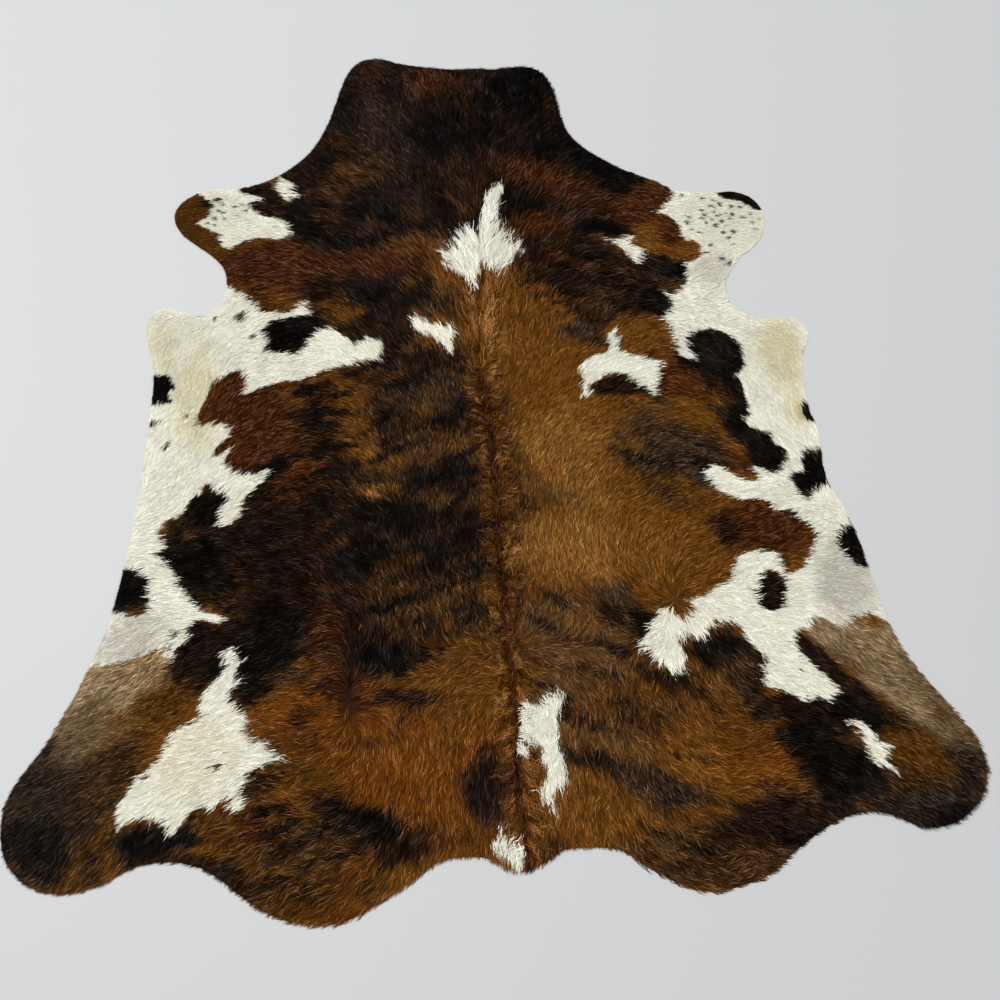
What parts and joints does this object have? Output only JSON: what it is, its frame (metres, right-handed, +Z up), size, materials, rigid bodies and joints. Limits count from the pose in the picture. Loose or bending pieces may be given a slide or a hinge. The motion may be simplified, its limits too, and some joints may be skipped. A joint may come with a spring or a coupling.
{
  "type": "cowhide rug",
  "caption": "Flat hair-on cowhide rug in the natural outline of the hide, with spread neck, front legs and hind legs, a brindle and white coat and a ridge of longer hair along the spine.",
  "frame": {"origin": "on the floor under the middle of the hide's length and width", "axes": "+Z up from the floor through the hair side, +Y along the spine to the neck, +X to the right as seen from above with the neck away from the viewer"},
  "size_m": [2.1281, 2.303, 0.013],
  "materials": {
    "hide": "lying hair, satin"
  },
  "bodies": {
    "root": {"hide": "hide"}
  },
  "joints": []
}
